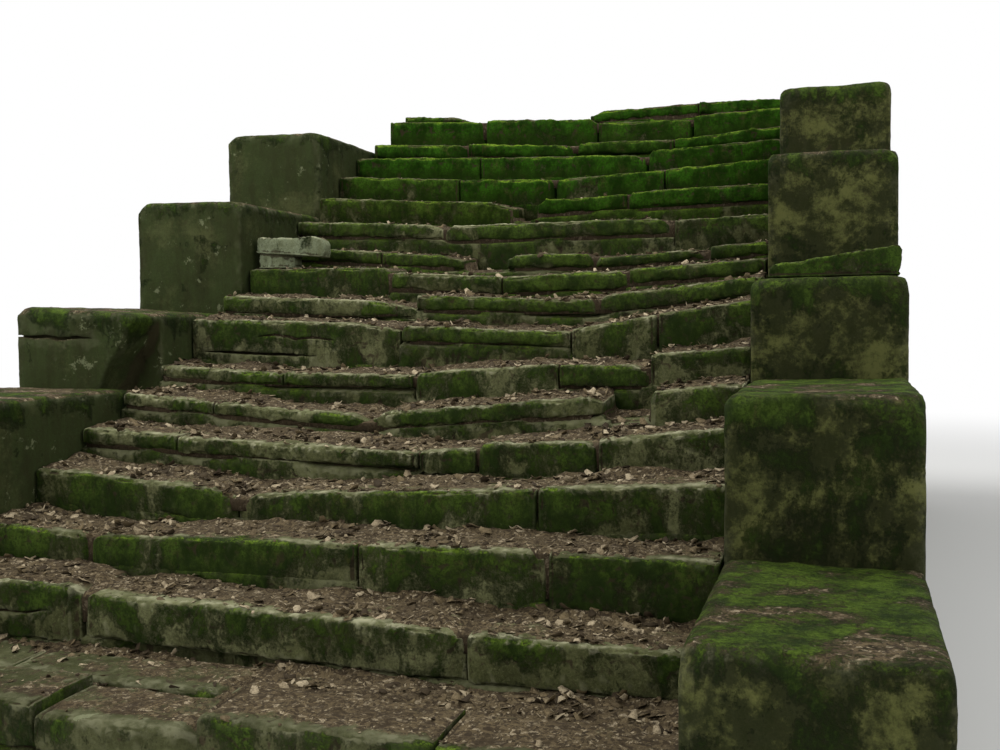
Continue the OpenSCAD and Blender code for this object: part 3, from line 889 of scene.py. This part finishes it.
def moss_group():
    """Velvety moss that likes top edges: its mask, colour and height. Its colour holds painted shade in
    the low parts of the moss and between its tufts, and a painted highlight along the top edges.
    """
    tones, values = ("Dark", "Mid", "Old", "Bright"), ("Edges", "Ledges", "Fresh")
    g, given, put = start_group("moss growth", tones, values, ("Color", "Mask", "Height"))
    co = g.place()
    up = g.upness()
    drop = g.value("drop")
    patches = g.noise(g.stretched(co, 1, 1, 0.8), 4.4, 5, 0.6, 0.6)
    ragged = g.noise(g.stretched(co, 1, 1, 0.5), 26.0, 7, 0.78)
    fuzz = g.noise(co, 85.0, 6, 0.85)
    top = g.scaled(g.between(drop, 0.015, 0.16, 1.0, -1.0), given["Edges"])
    behind = g.between(g.value("inset"), 0.0, 0.075, 0.25, 1.0)
    flat = g.scaled(g.between(up, 0.35, 0.8), behind)
    field = g.total(
        0.5,
        g.swing(patches, 1.5),
        g.swing(ragged, 0.55),
        g.swing(fuzz, 0.6),
        g.swing(g.value("moss"), 0.62),
        top,
        g.swing(given["Ledges"], flat),
    )
    mask = g.between(field, 0.4, 0.6)
    # Painted shade: the moss is darker where this noise, which also raises its bump, is low.
    shade = g.noise(g.stretched(co, 1, 1, 0.7), 8.0, 9, 0.78)
    tint = g.mix(g.between(shade, 0.4, 0.62), given["Dark"], given["Mid"])
    dying = g.noise(g.stretched(co, 1, 1, 0.8), 12.0, 8, 0.8, 0.4, 5)
    lush = g.between(g.value("moss"), 0.7, 0.88)
    tint = g.mix(lush, tint, (0.5, 1.02, 0.45, 1.0), "MULTIPLY")
    tint = g.mix(g.between(dying, 0.52, 0.68, 0.0, 0.75), tint, given["Old"])
    # Darker towards the bottom of each face.
    tint = g.mix(g.between(drop, 0.05, 0.15, 0.0, 0.65), tint, given["Dark"])
    # Painted highlight: on the up-facing front and along the top edges, the highest tufts of the moss
    # turn bright as if lit.
    upper = g.scaled(g.between(up, 0.3, 0.85), g.between(g.value("inset"), 0.12, 0.03))
    lip = g.math("MAXIMUM", upper, g.between(drop, 0.018, 0.003, 0.0, 0.7))
    tuft_tops = g.total(shade, g.scaled(fuzz, 0.5))
    lit = g.scaled(g.scaled(lip, given["Fresh"]), g.between(tuft_tops, 0.62, 0.86))
    tint = g.mix(lit, tint, given["Bright"])
    # Painted shade: darker in the hollows between the tufts.
    tint = g.mix(g.between(fuzz, 0.36, 0.56, 0.85, 0.0), tint, given["Dark"])
    put("Color", tint)
    put("Mask", mask)
    put("Height", g.scaled(g.total(g.scaled(fuzz, 1.5), shade, 0.3), mask))


def wear_group():
    """Where edges are rubbed bare and where grime gathers, from how far the surface stands out."""
    g, given, put = start_group("wear and grime", (), ("Wear", "Grime"), ("Worn", "Grimy"))
    co = g.place()
    edge = g.value("relief")
    patchy = g.noise(co, 15.0, 8, 0.75, shown=5)
    lip = g.scaled(g.between(g.value("drop"), 0.014, 0.003), g.between(g.value("inset"), 0.09, 0.03))
    bare = g.between(g.value("moss"), 0.35, 0.9, 1.0, 0.1)
    trodden = g.scaled(lip, g.between(g.value("moss"), 0.6, 0.85, 1.0, 0.35))
    high = g.between(g.value("drop"), 0.015, 0.045, 1.0, 0.3)
    rubbed = g.math("MAXIMUM", g.scaled(g.scaled(g.between(edge, 0.25, 0.9), high), bare), trodden)
    worn = g.scaled(rubbed, g.between(patchy, 0.38, 0.6))
    grimy = g.between(g.total(edge, g.scaled(patchy, 0.25)), 0.02, -0.4)
    put("Worn", g.scaled(worn, given["Wear"]))
    put("Grimy", g.scaled(grimy, given["Grime"]))


def patch_group():
    """Soft, ragged patches of another tone, such as lichen crusts or bare render."""
    g, given, put = start_group("soft patches", (), ("Cover", "Size", "Softness"), ("Mask",))
    co = g.place()
    broad = g.noise(co, given["Size"], 7, 0.66, 0.2, 5)
    ragged = g.swing(g.noise(co, 45.0, 7, 0.8, shown=3), 0.5)
    limit = g.math("SUBTRACT", 0.78, g.scaled(given["Cover"], 0.4))
    put("Mask", g.between(g.total(broad, ragged), limit, g.total(limit, given["Softness"])))


def flakes_group():
    """Rotted leaf flakes of several browns lying over each other, some of them dry and pale."""
    g, given, put = start_group("leaf flakes", ("Dark", "Mid", "Pale"), (), ("Color", "Height"))
    co = g.place()
    warp = g.node("TexNoise", {"Vector": co, "Scale": 26.0, "Detail": 4.0}).outputs["Color"]
    warp = g.stretched(warp, 0.035, 0.035, 0.035)
    bent = g.node("VectorMath", {0: co, 1: warp}, operation="ADD").outputs[0]
    layers = []
    for scale, stretch in ((52.0, (1.0, 1.5, 0.7)), (95.0, (1.6, 1.0, 0.7))):
        cell = g.node("TexVoronoi", {"Vector": g.stretched(bent, *stretch), "Scale": scale}).outputs
        pick = g.part(cell["Color"], "X")
        fall = g.between(cell["Distance"], 0.0, 0.75, 1.0, 0.0)
        shade = g.mix(g.between(pick, 0.1, 0.75), given["Dark"], given["Mid"])
        shade = g.mix(g.between(pick, 0.84, 0.99), shade, given["Pale"])
        layers.append((shade, g.total(pick, g.scaled(fall, 0.5))))
    chosen = g.between(g.noise(co, 42.0, 4, 0.7, shown=3), 0.44, 0.56)
    base = g.mix(chosen, layers[0][0], layers[1][0])
    height = g.total(g.scaled(layers[0][1], 0.5), g.scaled(layers[1][1], 0.5))
    fine = g.noise(co, 230.0, 4, 0.8)
    base = g.mix(g.between(fine, 0.36, 0.62, 0.6, 0.0), base, given["Dark"])
    clumps = g.noise(co, 7.0, 8, 0.75, shown=6)
    base = g.mix(g.between(clumps, 0.42, 0.72, 0.0, 0.75), base, given["Dark"])
    put("Color", base)
    put("Height", g.total(height, g.scaled(fine, 0.4)))


def dust_group():
    """Leaf dirt settled on what faces up, thinner towards the front edge."""
    g, given, put = start_group("settled dirt", (), ("Amount",), ("Mask",))
    co = g.place()
    patches = g.noise(co, 7.0, 8, 0.75, 0.3, 6)
    fine = g.swing(g.noise(co, 90.0, 5, 0.8, shown=2), 0.3)
    inset = g.between(g.value("inset"), 0.015, 0.11, -0.2, 0.1)
    wanted = g.total(g.scaled(given["Amount"], 0.4), g.scaled(g.value("dusty"), 0.3))
    field = g.total(patches, fine, inset, wanted)
    put("Mask", g.scaled(g.between(g.upness(), 0.5, 0.85), g.between(field, 0.58, 0.72)))


def rgba(value):
    return (*value, 1.0)


def paints(colours, **named):
    """The colours of these names, for the sockets of a group."""
    return {socket: rgba(getattr(colours, name)) for socket, name in named.items()}


def start_material(name, gloss=0.08):
    """A new material as (material, graph, its shader)."""
    made = bpy.data.materials.new(name)
    made.use_nodes = True
    tree = made.node_tree
    shader = tree.nodes["Principled BSDF"]
    shader.inputs["Specular IOR Level"].default_value = gloss
    return made, Graph(tree), shader


def surface(g, shader, tint, rough, height, strength, distance):
    """Feed the shader its colour, roughness and bump."""
    g.tree.links.new(tint, shader.inputs["Base Color"])
    g.tree.links.new(rough, shader.inputs["Roughness"])
    bump = g.node("Bump", {"Strength": strength, "Distance": distance, "Height": height})
    g.tree.links.new(bump.outputs[0], shader.inputs["Normal"])


def flakes(g, colours):
    return g.group("leaf flakes", paints(colours, Dark="dirt_dark", Mid="dirt_mid", Pale="dirt_pale"))


def stone_material(
    name, colours, tones, stain, moss, wear=0.8, grime=0.8, dirt=0.3, crust=0.3, patch=None, gloss=0.08
):
    """Weathered stone with dirt, lichen and moss on it.

    tones is (pale, mid, dark), moss is (edges, ledges, highlit), highlit being the strength of the
    painted highlight on the moss of the top edges, and patch is (colour, cover, size, softness) of broad
    patches of another tone.
    """
    made, g, shader = start_material(name, gloss)
    mottle = dict(zip(("Pale", "Mid", "Dark"), map(rgba, tones)))
    stone = g.group("stone mottle", {**mottle, "Stain": stain})
    use = g.group("wear and grime", {"Wear": wear, "Grime": grime})
    settled = g.group("settled dirt", {"Amount": dirt})
    leaves = flakes(g, colours)
    crusts = g.group("soft patches", {"Cover": crust, "Size": 9.0, "Softness": 0.05})
    greens = paints(colours, Dark="moss_dark", Mid="moss_mid", Old="moss_old", Bright="moss_highlight")
    growth = g.group("moss growth", {**greens, **dict(zip(("Edges", "Ledges", "Fresh"), moss))})
    film = g.math("MAXIMUM", g.scaled(g.between(g.value("moss"), 0.5, 1.0), 0.6), g.value("damp"))
    base = g.mix(film, stone["Color"], rgba(colours.stone_dark))
    if patch:
        area = g.group("soft patches", {"Cover": patch[1], "Size": patch[2], "Softness": patch[3]})
        base = g.mix(g.scaled(area["Mask"], 0.75), base, rgba(patch[0]))
    base = g.mix(g.scaled(crusts["Mask"], 0.7), base, rgba(colours.lichen))
    worn = g.scaled(use["Worn"], g.math("SUBTRACT", 1.0, g.value("damp")))
    base = g.mix(worn, base, rgba(colours.stone_dry))
    base = g.mix(settled["Mask"], base, leaves["Color"])
    bare = g.scaled(growth["Mask"], g.math("SUBTRACT", 1.0, worn))
    base = g.mix(bare, base, growth["Color"])
    base = g.mix(use["Grimy"], base, rgba(colours.dirt_dark))
    rough = g.between(g.noise(g.place(), 20.0, shown=2), 0.3, 0.7, 0.8, 0.98)
    surface(g, shader, base, rough, g.total(stone["Height"], growth["Height"]), 0.9, 0.006)
    return made


def dirt_material(colours):
    """The leaf dirt that lies on the treads."""
    made, g, shader = start_material("leaf dirt")
    leaves = flakes(g, colours)
    # Painted shade: the steeper sides of the dirt are mixed toward dark dirt, and damp dirt is darkened
    # as well.
    shade = g.math("MAXIMUM", g.between(g.upness(), 0.35, 0.8, 0.75, 0.0), g.value("damp"))
    base = g.mix(shade, leaves["Color"], rgba(colours.dirt_dark))
    rough = g.between(leaves["Height"], 0.2, 1.4, 0.98, 0.75)
    surface(g, shader, base, rough, leaves["Height"], 1.0, 0.007)
    return made


def leaf_material(colours):
    """Single leaf flakes, brown to dry and pale, each of one tone with darker stains."""
    made, g, shader = start_material("dry leaf flakes")
    co = g.place()
    tone = g.value("tone")
    base = g.mix(g.between(tone, 0.1, 0.6), rgba(colours.dirt_dark), rgba(colours.dirt_mid))
    base = g.mix(g.between(tone, 0.55, 1.0), base, rgba(colours.dirt_pale))
    stains = g.noise(co, 130.0, 5, 0.75)
    base = g.mix(g.between(stains, 0.42, 0.68, 0.0, 0.65), base, rgba(colours.dirt_dark))
    rough = g.between(stains, 0.3, 0.7, 0.7, 0.92)
    surface(g, shader, base, rough, stains, 0.6, 0.002)
    return made


def make_materials(colours):
    for build in (stone_group, moss_group, wear_group, patch_group, flakes_group, dust_group):
        build()
    pale, mid, dark = colours.stone_pale, colours.stone_mid, colours.stone_dark
    damp = [(a + b) / 2 for a, b in zip(pale, mid)]
    for kind, gloss in (("mossy", 0.08), ("velvety", 0.02)):
        name = f"{kind} tread stone"
        stone_material(name, colours, (pale, mid, dark), 0.5, (0.06, 0.0, 1.0), gloss=gloss)
        name = f"{kind} rubble stone"
        stone_material(name, colours, (damp, mid, dark), 0.6, (0.06, 0.0, 0.5), crust=0.2, gloss=gloss)
    for side, render, stain, crust, patch in (
        ("left", colours.render_left, 0.8, 0.4, (mid, 0.7, 2.6, 0.24)),
        ("right", colours.render_right, 0.6, 0.1, (colours.blotch_right, 0.84, 7.0, 0.23)),
    ):
        more = {"wear": 0.2, "grime": 0.6, "dirt": 0.4, "crust": crust, "patch": patch}
        tones = (render, render, dark)
        stone_material(f"{side} cheek render", colours, tones, stain, (0.12, 0.5, 0.35), **more)
    stone_material("mossy cap stone", colours, (pale, mid, dark), 0.6, (0.12, 0.6, 0.7), dirt=0.2)
    slab = (colours.slab_pale, colours.slab_pale, mid)
    stone_material("pale loose slab", colours, slab, 0.4, (0.05, 0.3, 0.5), dirt=0.2, crust=0.1)
    dirt_material(colours)
    leaf_material(colours)


def row_finish(index, stone):
    """The finish of one row: velvety where moss covers nearly all of it."""
    return f"{'velvety' if MOSS[index - 1] > VELVETY else 'mossy'} {stone}"


def dress(piece, material):
    piece.data.materials.clear()
    piece.data.materials.append(bpy.data.materials[material])


# Operators


class STONESTEPS_OT_materials(bpy.types.Operator):
    """Make the stone, render, moss and dirt finishes"""

    bl_idname = "stonesteps.materials"
    bl_label = "Finishes"

    def execute(self, context):
        make_materials(context.scene.step_colours)
        return {"FINISHED"}


class STONESTEPS_OT_treads(bpy.types.Operator):
    """Model the rows of worn tread stones"""

    bl_idname = "stonesteps.treads"
    bl_label = "Tread stones"

    def execute(self, context):
        for index in range(1, STEPS + 1):
            dress(tread_row(index, context.scene.step_sizes), row_finish(index, "tread stone"))
        return {"FINISHED"}


class STONESTEPS_OT_courses(bpy.types.Operator):
    """Model the rubble courses under the treads"""

    bl_idname = "stonesteps.courses"
    bl_label = "Rubble courses"

    def execute(self, context):
        for index in range(1, STEPS + 1):
            dress(course_row(index, context.scene.step_sizes), row_finish(index, "rubble stone"))
        return {"FINISHED"}


class STONESTEPS_OT_cheeks(bpy.types.Operator):
    """Model the stepped cheek blocks on both sides"""

    bl_idname = "stonesteps.cheeks"
    bl_label = "Cheek blocks"

    def execute(self, context):
        for side in ("left", "right"):
            for tier in range(1, TIERS + 1):
                dress(cheek_block(side, tier, context.scene.step_sizes), f"{side} cheek render")
        return {"FINISHED"}


class STONESTEPS_OT_loose(bpy.types.Operator):
    """Model the tilted cap stone and the loose slab"""

    bl_idname = "stonesteps.loose"
    bl_label = "Loose stones"

    def execute(self, context):
        sizes = context.scene.step_sizes
        cap = loose_stone("cap_stone_right", "tilted_cap_stone", "cap_stone", sizes, 0.4, 0.75)
        dress(cap, "mossy cap stone")
        slab = loose_stone("loose_slab_left", "loose_slab", "loose_stone", sizes, 0.7, 0.12)
        dress(slab, "pale loose slab")
        return {"FINISHED"}


class STONESTEPS_OT_dirt(bpy.types.Operator):
    """Lay the dirt that has gathered on the treads"""

    bl_idname = "stonesteps.dirt"
    bl_label = "Leaf dirt"

    def execute(self, context):
        for index in range(1, STEPS + 1):
            leaf_dirt(index, context.scene.step_sizes)
        return {"FINISHED"}


class STONESTEPS_OT_stage(bpy.types.Operator):
    """Set the floor, the soft light and the camera"""

    bl_idname = "stonesteps.stage"
    bl_label = "Stage"

    def execute(self, context):
        settings = context.scene.step_stage
        make_floor(settings)
        make_lights(context.scene, settings)
        make_camera(context.scene)
        context.scene.view_settings.view_transform = "Standard"
        return {"FINISHED"}


def make_camera(scene):
    data = bpy.data.cameras.new("photo view")
    data.sensor_width = 36.0
    data.lens = VIEW_LENS
    data.clip_end = 200.0
    camera = bpy.data.objects.new("photo view", data)
    scene.collection.objects.link(camera)
    turn = (
        Matrix.Rotation(math.radians(VIEW_TURN), 4, "Z")
        @ Matrix.Rotation(math.radians(90.0 + VIEW_TILT), 4, "X")
        @ Matrix.Rotation(math.radians(VIEW_ROLL), 4, "Z")
    )
    camera.matrix_world = Matrix.Translation(VIEW_PLACE) @ turn
    scene.camera = camera


def seen_directly(g):
    """1 for rays from the camera, also by way of a reflection or glass."""
    path = g.node("LightPath").outputs
    seen = g.math("MAXIMUM", path["Is Camera Ray"], path["Is Glossy Ray"])
    return g.math("MAXIMUM", seen, path["Is Transmission Ray"])


def make_floor(settings):
    choose_nothing()
    bpy.ops.mesh.primitive_circle_add(
        vertices=96, radius=FLOOR_RADIUS, fill_type="NGON", location=(0, 0, -0.0005)
    )
    floor = bpy.context.active_object
    floor.name = "floor"
    made = bpy.data.materials.new("pale floor")
    made.use_nodes = True
    g = Graph(made.node_tree)
    shader = made.node_tree.nodes["Principled BSDF"]
    shader.inputs["Base Color"].default_value = rgba(settings.floor)
    shader.inputs["Roughness"].default_value = 0.9
    shader.inputs["Specular IOR Level"].default_value = 0.1
    away = g.node("VectorMath", {0: g.place()}, operation="LENGTH").outputs["Value"]
    glow = g.node("Emission", {"Color": (1, 1, 1, 1), "Strength": 1.0})
    fade = g.scaled(g.between(away, *FADE), seen_directly(g))
    blend = g.node("MixShader", {0: fade, 1: shader.outputs[0], 2: glow.outputs[0]})
    g.tree.links.new(blend.outputs[0], made.node_tree.nodes["Material Output"].inputs["Surface"])
    floor.data.materials.append(made)


def make_lights(scene, settings):
    for name, (width, place) in LAMPS.items():
        data = bpy.data.lights.new(f"{name} light", "AREA")
        data.energy = getattr(settings, f"{name}_power")
        data.shape = "DISK"
        data.size = width
        lamp = bpy.data.objects.new(data.name, data)
        scene.collection.objects.link(lamp)
        lamp.location = place
        aim = Vector((0, 0, LIT_HEIGHT)) - Vector(place)
        lamp.rotation_euler = aim.to_track_quat("-Z", "Y").to_euler()
    world = bpy.data.worlds.new("studio")
    world.use_nodes = True
    scene.world = world
    g = Graph(world.node_tree)
    even = world.node_tree.nodes["Background"]
    even.inputs["Strength"].default_value = settings.world_level
    even.inputs["Color"].default_value = (1, 1, 1, 1)
    white = g.node("Background", {"Color": (1, 1, 1, 1), "Strength": 1.0})
    blend = g.node("MixShader", {0: seen_directly(g), 1: even.outputs[0], 2: white.outputs[0]})
    g.tree.links.new(blend.outputs[0], world.node_tree.nodes["World Output"].inputs["Surface"])


class STONESTEPS_PT_panel(bpy.types.Panel):
    """The pieces of the steps in the order they are made"""

    bl_idname = "STONESTEPS_PT_panel"
    bl_label = "Stone steps"
    bl_space_type = "VIEW_3D"
    bl_region_type = "UI"
    bl_category = "Stone steps"

    def draw(self, context):
        for operator in OPERATORS:
            self.layout.operator(operator.bl_idname)
        for group in (context.scene.step_sizes, context.scene.step_colours, context.scene.step_stage):
            box = self.layout.box()
            for name in group.__annotations__:
                box.prop(group, name)


OPERATORS = (
    STONESTEPS_OT_materials,
    STONESTEPS_OT_treads,
    STONESTEPS_OT_courses,
    STONESTEPS_OT_cheeks,
    STONESTEPS_OT_loose,
    STONESTEPS_OT_dirt,
    STONESTEPS_OT_stage,
)
GROUPS = {"step_sizes": StoneSizes, "step_colours": FinishColours, "step_stage": StageSettings}


def register():
    for kind in (*GROUPS.values(), *OPERATORS, STONESTEPS_PT_panel):
        bpy.utils.register_class(kind)
    for name, group in GROUPS.items():
        setattr(bpy.types.Scene, name, PointerProperty(type=group))


def unregister():
    for name in GROUPS:
        delattr(bpy.types.Scene, name)
    for kind in (STONESTEPS_PT_panel, *reversed(OPERATORS), *reversed(GROUPS.values())):
        bpy.utils.unregister_class(kind)


def main():
    register()
    bpy.ops.stonesteps.materials()
    bpy.ops.stonesteps.treads()
    bpy.ops.stonesteps.courses()
    bpy.ops.stonesteps.cheeks()
    bpy.ops.stonesteps.loose()
    bpy.ops.stonesteps.dirt()
    bpy.ops.stonesteps.stage()


if __name__ == "__main__":
    main()
